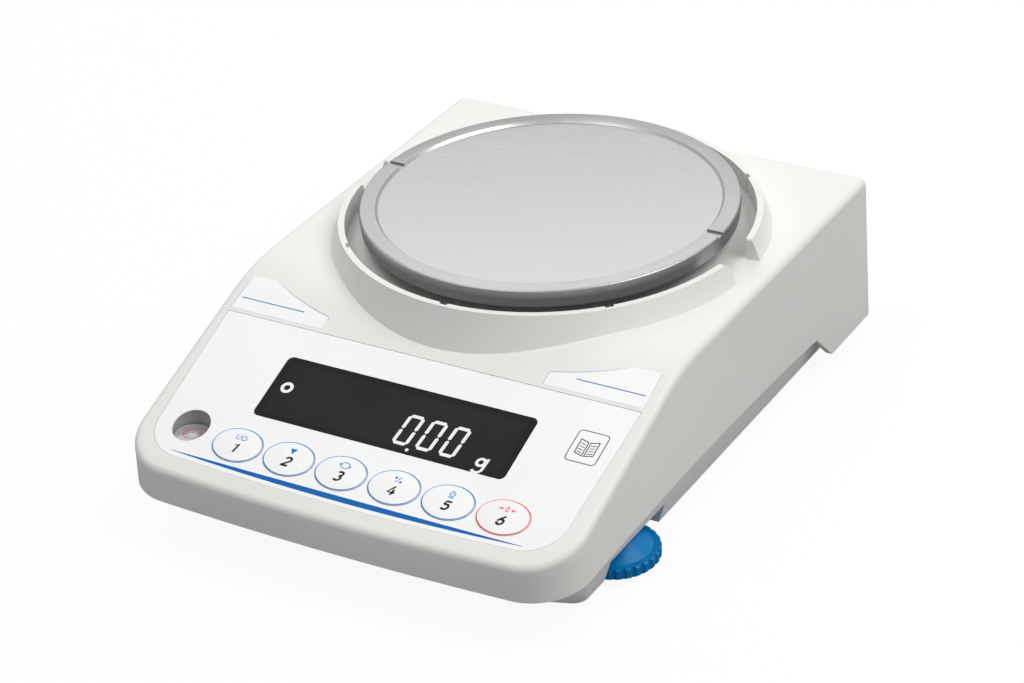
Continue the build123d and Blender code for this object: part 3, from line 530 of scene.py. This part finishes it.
def figure(number):
    """A bold leaning figure from 1 to 6, centred on the origin."""
    paths = {
        1: [[(-0.9, 1.1), (0.25, 2.0), (0.25, -2.1)]],
        2: [oval(1.25, 1.05, 12, 0.0, 1.0, 165.0, -175.0) + [(1.1, 0.45), (-1.3, -1.75)],
            [(-1.5, -1.75), (1.45, -1.75)]],
        3: [oval(1.15, 0.95, 12, -0.05, 1.0, 150.0, -240.0),
            oval(1.3, 1.1, 12, -0.05, -0.95, 90.0, -240.0)],
        4: [[(0.35, 2.0), (-1.4, -0.9), (1.7, -0.9)],
            [(0.6, 0.6), (0.6, -2.1)]],
        5: [[(1.25, 1.75), (-0.85, 1.75), (-1.05, 0.15)],
            oval(1.3, 1.2, 14, -0.05, -0.75, 135.0, -280.0)],
        6: [[(0.75, 2.0), (-0.6, 0.5), (-1.2, -0.6)],
            oval(1.2, 1.15, 24, 0.0, -0.8, 170.0, -345.0)],
    }
    pen, slant = 0.92, 0.2
    piece = join([flat_stroke(path, pen) for path in paths[number]])
    lean(piece, slant)
    return piece


def key_sign(number):
    """Pieces of the sign on a key, centred on the origin."""
    thin, pen, bold = 0.34, 0.36, 0.38
    if number == 1:
        power = flat_stroke(oval(1.05, 1.05, 28, 1.1, -0.1, 125.0, 290.0), pen)
        tick = flat_stroke([(1.1, 0.2), (1.1, 1.35)], pen)
        bar = flat_stroke([(-2.1, -1.15), (-2.1, 1.15)], pen)
        slash = flat_stroke([(-1.25, -1.3), (-0.35, 1.3)], thin)
        return [power, tick, bar, slash]
    if number == 2:
        return [flat_outline([(-1.45, 1.2), (1.45, 1.2), (0.0, -1.3)])]
    if number == 3:
        pieces = []
        for start, sign in ((28.0, 1), (208.0, -1)):
            x, y, rise = -1.95 * sign, 0.15 * sign, 0.35 * sign
            pieces.append(flat_stroke(oval(1.95, 1.3, 20, 0, 0, start, 125.0), bold))
            pieces.append(flat_outline(
                [(x - 0.7 * sign, y + rise), (x + 0.75 * sign, y + rise), (x, y - 0.75 * sign)]))
        return pieces
    if number == 4:
        half = flat_outline(oval(0.55, 0.55, 24, -1.2, 0.75))
        whole = flat_outline(oval(0.55, 0.55, 24, 1.2, -0.75))
        return [half, whole, flat_stroke([(-0.9, -1.3), (0.9, 1.3)], pen)]
    if number == 5:
        circle = flat_ring(oval(1.25, 1.25, 36, 0, 0.3), pen)
        dot = flat_outline(oval(0.3, 0.3, 16, 0, 0.3))
        return [circle, dot, flat_stroke([(-1.3, -1.35), (1.3, -1.35)], bold)]
    pieces = [flat_ring(oval(0.72, 1.3, 36), pen)]
    for sign in (-1, 1):
        pieces.append(flat_stroke([(sign * 3.7, 0.0), (sign * 2.2, 0.0)], pen))
        pieces.append(flat_outline([(sign * 2.5, 0.7), (sign * 2.5, -0.7), (sign * 1.5, 0.0)]))
    return pieces


def thicken(piece, thickness):
    """Gives a flat piece a closed thickness, upwards."""
    pick(piece)
    skin = piece.modifiers.new("thickness", "SOLIDIFY")
    skin.thickness = thickness * MM
    skin.offset = 1.0
    bpy.ops.object.modifier_apply(modifier=skin.name)


def panel_place(x, v, height):
    """Place on the slope: across, up the slope and out of it, in millimetres."""
    sizes = bpy.context.scene.balance_sizes
    c, s = math.cos(sizes.slope_angle), math.sin(sizes.slope_angle)
    turn = Matrix(((1, 0, 0, 0), (0, c, -s, 0), (0, s, c, 0), (0, 0, 0, 1)))
    origin = Matrix.Translation((0.0, sizes.panel_y, sizes.panel_z))
    return origin @ turn @ Matrix.Translation((x * MM, v * MM, height * MM))


def panel_print(pieces, name, finish, x=0.0, v=0.0, body="case", height=SHEET_PRINT):
    """A flat print, laid on the slope."""
    piece = join(pieces)
    thicken(piece, INK)
    finish_piece(piece, name, finish, body, panel_place(x, v, height))


def lit_print(pieces, name, x=0.0, v=0.0):
    """A lit stroke of the reading, laid on the window."""
    piece = join(pieces)
    thicken(piece, LIT)
    finish_piece(piece, name, "digit", "case", panel_place(x, v, WINDOW_PRINT))


# Settings

def length_property(name, description, default, **limits):
    return bpy.props.FloatProperty(
        name=name, description=description, default=default, unit="LENGTH", **limits)


def colour_property(name, description, default):
    return bpy.props.FloatVectorProperty(
        name=name, description=description, default=default, subtype="COLOR",
        size=3, min=0.0, max=1.0)


class BalanceSizes(bpy.types.PropertyGroup):
    """Sizes that a user would change."""
    slope_angle: bpy.props.FloatProperty(
        name="Slope angle", description="Angle of the key panel",
        default=math.radians(19.8), subtype="ANGLE")
    panel_y: length_property(
        "Panel start, y", "Front edge of the panel's sheet", -0.1237053, precision=5)
    panel_z: length_property(
        "Panel start, z", "Height of the front edge of the panel's sheet", 0.0375099, precision=5)
    key_pitch: length_property("Key pitch", "Distance between keys", 0.0228, precision=4)
    key_start: length_property(
        "First key", "Place of the first key across the panel", -0.0507, precision=4)
    key_row: length_property(
        "Key row", "Height of the key row up the slope", 0.0136, precision=4)
    digit_height: length_property(
        "Digit height", "Height of a lit digit", 0.0144, precision=4)
    line_width: length_property(
        "Line width", "Width of the blue line at its middle", 0.00241, precision=5)
    floor_size: length_property("Floor size", "Side of the floor", 8.0)


class BalanceColours(bpy.types.PropertyGroup):
    """Colours that a user would change."""
    housing: colour_property("Housing", "Off-white of the moulded housing", (0.84, 0.84, 0.815))
    tray: colour_property("Tray", "Grey of the lower tray", (0.82, 0.815, 0.815))
    panel: colour_property(
        "Panel", "White of the sheet, the keys and the plates", (0.98, 0.98, 0.98))
    cup: colour_property("Level well", "Grey of the level's well", (0.40, 0.40, 0.405))
    pan: colour_property("Pan", "Steel of the pan", (0.385, 0.385, 0.385))
    wheel: colour_property("Wheels", "Blue of the levelling wheels", (0.0, 0.215, 0.54))
    print_blue: colour_property("Print blue", "Blue of the lines", (0.0, 0.13, 0.46))
    outline_blue: colour_property(
        "Outline blue", "Blue of the key outlines and signs", (0.0, 0.22, 0.62))
    print_red: colour_property("Print red", "Red of the last key", (0.86, 0.10, 0.08))


# Pieces

class BALANCE_OT_finishes(bpy.types.Operator):
    """Makes the finishes and gives every CAD node the one its slot asks for"""
    bl_idname = "balance.finishes"
    bl_label = "Finishes"

    def execute(self, context):
        FINISHES.update(make_finishes())
        for part in frame["record"]["subparts"]:
            node = frame["nodes"][part["node"]]
            node.data.materials.clear()
            node.data.materials.append(FINISHES[part["material_slot"]])
        return {"FINISHED"}


class BALANCE_OT_case(bpy.types.Operator):
    """Housing, tray, sheet, plates and the rear feet, smoothed"""
    bl_idname = "balance.case"
    bl_label = "Case"

    def execute(self, context):
        smooth_copy("top_housing", "housing", "case", 34.0)
        smooth_copy("base_tray", "tray", "case", 34.0)
        for node in ("panel_sheet", "badge_left", "badge_right"):
            smooth_copy(node, "panel", "case")
        for side in ("left", "right"):
            smooth_copy("rear_foot_" + side, "rubber", "case", edge=0.4)
        return {"FINISHED"}


class BALANCE_OT_pan(bpy.types.Operator):
    """Steel pan and the carrier under it"""
    bl_idname = "balance.pan"
    bl_label = "Pan"

    def execute(self, context):
        smooth_copy("pan", "pan_steel", "pan", 28.0)
        smooth_copy("pan_carrier", "black", "carrier")
        return {"FINISHED"}


class BALANCE_OT_panel_print(bpy.types.Operator):
    """Blue lines on the sheet and the plates, and the sign in its frame"""
    bl_idname = "balance.panel_print"
    bl_label = "Panel print"

    def execute(self, context):
        self.sheet_line(context.scene.balance_sizes.line_width / MM)
        self.plate_lines()
        self.booklet()
        return {"FINISHED"}

    def sheet_line(self, width):
        """Long line that bows down and swells towards its middle."""
        left, across, ends, sag, tip, steps = -75.1, 151.2, 4.15, 1.33, 0.12, 60
        path, widths = [], []
        for i in range(steps + 1):
            t = i / steps
            bow = 1.0 - (2.0 * t - 1.0) ** 2
            path.append((left + across * t, ends - sag * bow))
            widths.append(tip + (width - tip) * bow)
        panel_print([flat_stroke(path, widths)], "sheet_line", "blue_ink")

    def plate_lines(self):
        left, across, steps = -14.3, 28.6, 8
        for side, x in (("left", -73.9), ("right", 73.9)):
            rule = flat_stroke([(left + across * i / steps, 0.0) for i in range(steps + 1)], 0.42)
            panel_print([rule], "plate_line_" + side, "blue_ink", x, 79.75)

    def booklet(self):
        """Open booklet with four lines on each leaf, in a rounded frame."""
        pieces = [flat_ring(rounded_box(71.9, 84.6, 44.2, 58.8, 1.7), 0.35)]
        for outer, spine in ((74.3, 78.0), (82.2, 78.5)):
            leaf = [(outer, 48.2), (spine, 47.2), (spine, 53.9), (outer, 54.9)]
            pieces.append(flat_ring(leaf, 0.38))
        low, high, pitch = 52.45, 53.0, 1.3
        for (x1, y1), (x2, y2) in (((75.1, high), (77.2, low)), ((79.3, low), (81.4, high))):
            for i in range(4):
                row = [(x1, y1 - pitch * i), (x2, y2 - pitch * i)]
                pieces.append(flat_stroke(row, 0.32))
        panel_print(pieces, "booklet_sign", "black_ink")


class BALANCE_OT_display(bpy.types.Operator):
    """Window and the lit reading on it"""
    bl_idname = "balance.display"
    bl_label = "Display"

    def execute(self, context):
        smooth_copy("display_window", "window", "case")
        height = context.scene.balance_sizes.digit_height / MM
        foot, slant = 32.2, 0.075
        for number, left in enumerate((5.6, 15.5, 25.4), 1):
            digit = self.zero(left, height)
            lean(digit, slant)
            lit_print([digit], f"reading_digit_{number}", v=foot)
        lit_print([flat_outline(oval(0.72, 0.72, 24, 13.5, 30.8))], "reading_point")
        lit_print([flat_ring(oval(2.6, 2.6, 48), 1.35)], "steady_mark", -46.6, 44.1)
        unit = self.letter_g()
        lean(unit, slant)
        lit_print([unit], "reading_unit", 43.6, foot)
        return {"FINISHED"}

    def zero(self, left, height):
        """A nought made of six straight strokes with small gaps between them."""
        wide, stroke, gap = 6.9, 1.42, 0.24
        half = (height - stroke) / 2
        strokes = []
        for y in (stroke / 2, height - stroke / 2):
            level = flat_outline(segment(wide - stroke - gap * 0.6, stroke))
            strokes.append(move(level, left + wide / 2, y))
        for x in (left + stroke / 2, left + wide - stroke / 2):
            for y in (stroke / 2 + half / 2, stroke / 2 + 1.5 * half):
                post = flat_outline([(-b, a) for a, b in segment(half - gap, stroke)])
                strokes.append(move(post, x, y))
        return join(strokes)

    def letter_g(self):
        pen = 1.15
        bowl = flat_ring(oval(2.15, 2.15, 40, -0.35, 1.6), pen)
        stem = [(1.75, 3.75), (1.75, -1.2)] + oval(2.0, 1.9, 14, -0.25, -1.3, 0.0, -150.0)
        return join([bowl, flat_stroke(stem, pen)])


class BALANCE_OT_keys(bpy.types.Operator):
    """Six keys with their outlines, signs and numbers"""
    bl_idname = "balance.keys"
    bl_label = "Keys"

    def execute(self, context):
        sizes = context.scene.balance_sizes
        v = sizes.key_row / MM
        for number in range(1, 7):
            key = f"key_{number}"
            x = (sizes.key_start + sizes.key_pitch * (number - 1)) / MM
            ink = "red_ink" if number == 6 else "outline_ink"
            smooth_copy(key, "panel", key)
            outline = self.ring(*KEY_OUTLINE)
            panel_print([outline], key + "_outline", ink, x, v, key, KEY_PRINT)
            surround = self.ring(*KEY_SURROUND)
            panel_print([surround], key + "_surround", ink, x, v)
            sign_v, number_v = v + KEY_SIGN_UP, v + KEY_NUMBER_UP
            panel_print(key_sign(number), key + "_sign", ink, x, sign_v, key, KEY_PRINT)
            panel_print(
                [figure(number)], key + "_number", "black_ink", x, number_v, key, KEY_PRINT)
        return {"FINISHED"}

    def ring(self, half_width, half_height, width):
        return flat_ring(oval(half_width, half_height, 96), width)


class BALANCE_OT_level(bpy.types.Operator):
    """Spirit level: its well, the vial's face, the ring and the bubble"""
    bl_idname = "balance.level"
    bl_label = "Spirit level"

    def execute(self, context):
        smooth_copy("level_cup", "cup", "case")
        smooth_copy("level_vial", "vial", "case", 40.0)
        low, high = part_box("level_vial")
        face = Matrix.Translation(((low.x + high.x) / 2, (low.y + high.y) / 2, high.z))
        for name, finish, radius, count, width in (
                ("level_rim", "bubble", 6.6, 72, 0.7), ("level_ring", "level_ring", 3.6, 64, 0.34)):
            ring = flat_ring(oval(radius, radius, count), width)
            thicken(ring, VIAL_RING)
            finish_piece(ring, name, finish, "case", face)
        bubble_radius, flattening = 0.0021, 0.12
        clear()
        bpy.ops.mesh.primitive_uv_sphere_add(segments=32, ring_count=16, radius=bubble_radius)
        bubble = context.object
        edit(bubble)
        bpy.ops.transform.resize(value=(1.0, 1.0, flattening))
        leave()
        bpy.ops.object.shade_smooth()
        finish_piece(bubble, "level_bubble", "bubble", "case", face)
        return {"FINISHED"}


class BALANCE_OT_wheels(bpy.types.Operator):
    """Levelling wheels and the rubber pads of their feet"""
    bl_idname = "balance.wheels"
    bl_label = "Levelling wheels"

    def execute(self, context):
        for side in ("left", "right"):
            smooth_copy("foot_wheel_" + side, "wheel", "wheel_" + side, 34.0)
            smooth_copy("foot_pad_" + side, "rubber", "foot_" + side)
        return {"FINISHED"}


class BALANCE_OT_stage(bpy.types.Operator):
    """Floor, room, lamps and camera"""
    bl_idname = "balance.stage"
    bl_label = "Stage"

    def execute(self, context):
        self.floor(context)
        self.room(context)
        for lamp in LAMPS:
            self.lamp(context, *lamp)
        self.camera(context)
        return {"FINISHED"}

    def paper(self, seen=0.93, lit=0.34):
        """Plain pale paper: nearly white to the camera and duller to the lamps."""
        paint = new_paint("floor_paper")
        rays = paint.node("ShaderNodeLightPath", out="Is Camera Ray")
        shade = paint.blend(rays, (lit, lit, lit, 1.0), WHITE)
        plain = paint.node("ShaderNodeBsdfDiffuse", None, {"Color": shade})
        white = paint.node("ShaderNodeEmission", None, {"Color": WHITE, "Strength": 1.0})
        mixed = {0: rays * seen, 1: plain, 2: white}
        return paint.end(paint.node("ShaderNodeMixShader", None, mixed))

    def floor(self, context):
        """The floor lies just under the feet."""
        size, gap = context.scene.balance_sizes.floor_size, 0.0002
        clear()
        bpy.ops.mesh.primitive_plane_add(size=size, location=(0.0, 0.0, -gap))
        floor = context.object
        edit(floor)
        bpy.ops.mesh.subdivide(number_cuts=3)
        leave()
        bpy.ops.object.transform_apply(location=True, rotation=True, scale=True)
        floor.name = "floor"
        floor.data.materials.append(self.paper())

    def room(self, context):
        """White room: full white where it is seen or mirrored, dimmer where it lights."""
        room = Paint(bpy.data.worlds.new("room"))
        kinds = ("Is Camera Ray", "Is Transmission Ray", "Is Glossy Ray")
        seen, through, mirrored = [room.node("ShaderNodeLightPath", out=kind) for kind in kinds]
        strength = seen.top(through).top(mirrored).step(0.0, 1.0, ROOM_LIGHT, 1.0)
        white = {"Color": WHITE, "Strength": strength}
        background = room.node("ShaderNodeBackground", None, white)
        context.scene.world = room.end(background, "ShaderNodeOutputWorld")

    def lamp(self, context, name, place, target, size, power):
        clear()
        bpy.ops.object.light_add(type="AREA", location=place)
        lamp = context.object
        lamp.name = name
        lamp.data.shape = "RECTANGLE"
        lamp.data.size, lamp.data.size_y = size
        lamp.data.energy = power
        lamp.visible_camera = False
        aim = Vector(target) - Vector(place)
        lamp.rotation_euler = aim.to_track_quat("-Z", "Y").to_euler()

    def camera(self, context):
        camera = bpy.data.objects.new("camera", bpy.data.cameras.new("camera"))
        context.scene.collection.objects.link(camera)
        camera.data.sensor_width = 36.0
        camera.data.lens = 109.65
        camera.data.clip_start = 0.01
        camera.data.clip_end = 50.0
        camera.matrix_world = Matrix(CAMERA_PLACE)
        context.scene.camera = camera
        context.scene.view_settings.view_transform = "Standard"


STEPS = (
    BALANCE_OT_finishes,
    BALANCE_OT_stage,
    BALANCE_OT_case,
    BALANCE_OT_pan,
    BALANCE_OT_panel_print,
    BALANCE_OT_display,
    BALANCE_OT_keys,
    BALANCE_OT_level,
    BALANCE_OT_wheels,
)


class BALANCE_PT_panel(bpy.types.Panel):
    """Lists the steps that dress the balance"""
    bl_idname = "BALANCE_PT_panel"
    bl_label = "Precision balance"
    bl_space_type = "VIEW_3D"
    bl_region_type = "UI"
    bl_category = "Balance"

    def draw(self, context):
        for group in (context.scene.balance_sizes, context.scene.balance_colours):
            for key in group.__annotations__:
                self.layout.prop(group, key)
        for step in STEPS:
            self.layout.operator(step.bl_idname)


CLASSES = (BalanceSizes, BalanceColours, *STEPS, BALANCE_PT_panel)


def register():
    for item in CLASSES:
        bpy.utils.register_class(item)
    bpy.types.Scene.balance_sizes = bpy.props.PointerProperty(type=BalanceSizes)
    bpy.types.Scene.balance_colours = bpy.props.PointerProperty(type=BalanceColours)


def unregister():
    del bpy.types.Scene.balance_colours
    del bpy.types.Scene.balance_sizes
    for item in reversed(CLASSES):
        bpy.utils.unregister_class(item)


def main():
    register()
    for step in STEPS:
        group, name = step.bl_idname.split(".")
        getattr(getattr(bpy.ops, group), name)()
    clear()


if __name__ == "__main__":
    main()
